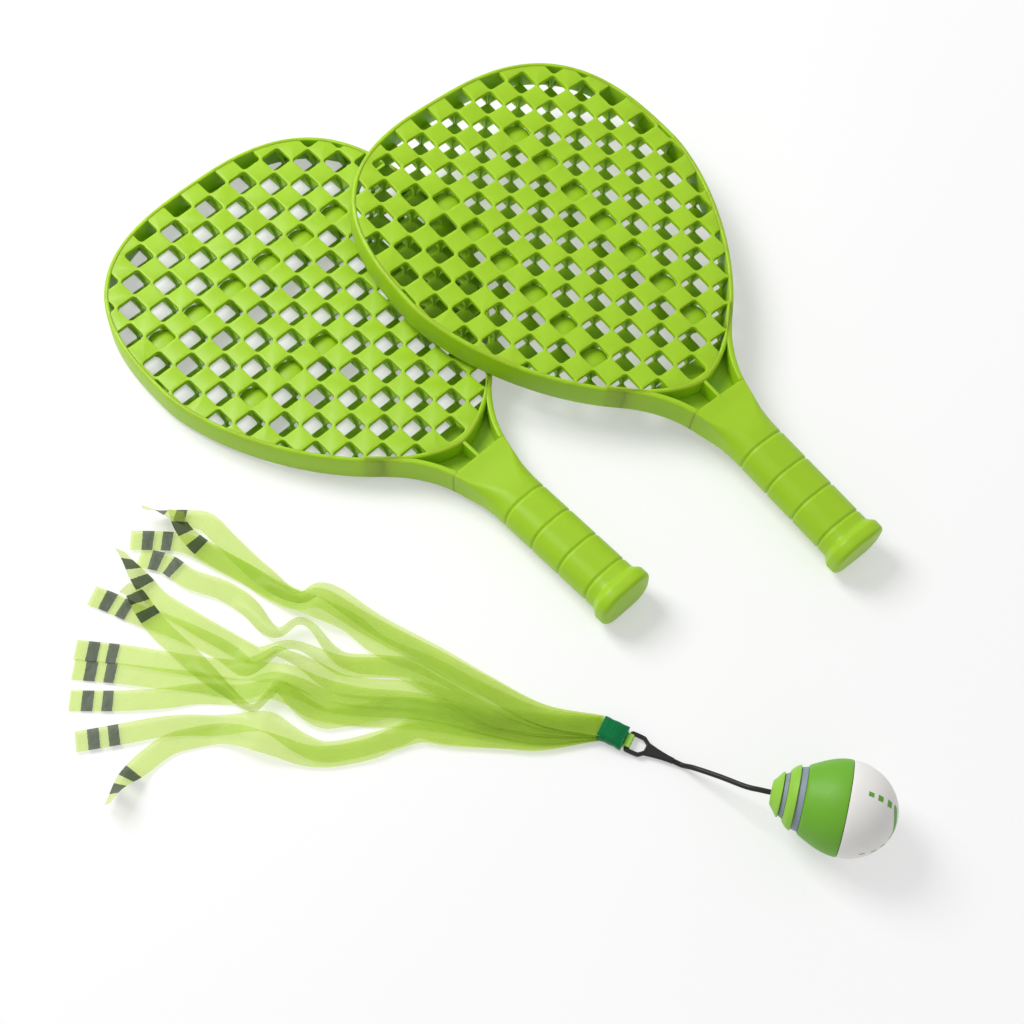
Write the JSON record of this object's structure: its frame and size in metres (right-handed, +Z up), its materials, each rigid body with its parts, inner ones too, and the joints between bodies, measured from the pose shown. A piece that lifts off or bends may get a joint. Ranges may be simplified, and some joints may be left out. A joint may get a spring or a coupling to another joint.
{
  "type": "toy racket and ball set",
  "caption": "Toy rackets with an open two-layer chessboard head, laid crosswise, with a foam ball on a short tether that ends in a tail of film ribbons.",
  "frame": {"origin": "middle of the underside of the whole set's bounding box, on the floor it lies on", "axes": "+Z up from the floor, +Y away from the viewer along the set's longest side, +X to the viewer's right"},
  "size_m": [0.4692, 0.526, 0.0537],
  "materials": {
    "lime_plastic": "satin injection moulding",
    "ball_green": "matte moulded foam rubber",
    "band_grey": "matte moulded foam rubber",
    "nose_white": "smooth moulded foam rubber",
    "strap_black": "semi-gloss",
    "tape_green": "glossy wound tape",
    "lime_film": "thin glossy film"
  },
  "bodies": {
    "root": {"racket_lower": "lime_plastic", "racket_upper": "lime_plastic", "ball_nose": "nose_white", "ball_body": "ball_green", "ball_band_front": "band_grey", "ball_ring_front": "ball_green", "ball_band_rear": "band_grey", "ball_ring_rear": "ball_green", "tether_cord": "strap_black", "tether_fork": "strap_black", "ribbon_fold": "lime_film", "tape_wrap": "tape_green", "ribbon_01": "lime_film", "ribbon_02": "lime_film", "ribbon_03": "lime_film", "ribbon_04": "lime_film", "ribbon_05": "lime_film", "ribbon_06": "lime_film", "ribbon_07": "lime_film", "ribbon_08": "lime_film", "ribbon_09": "lime_film", "ribbon_10": "lime_film", "ribbon_11": "lime_film", "ribbon_12": "lime_film"}
  },
  "joints": []
}
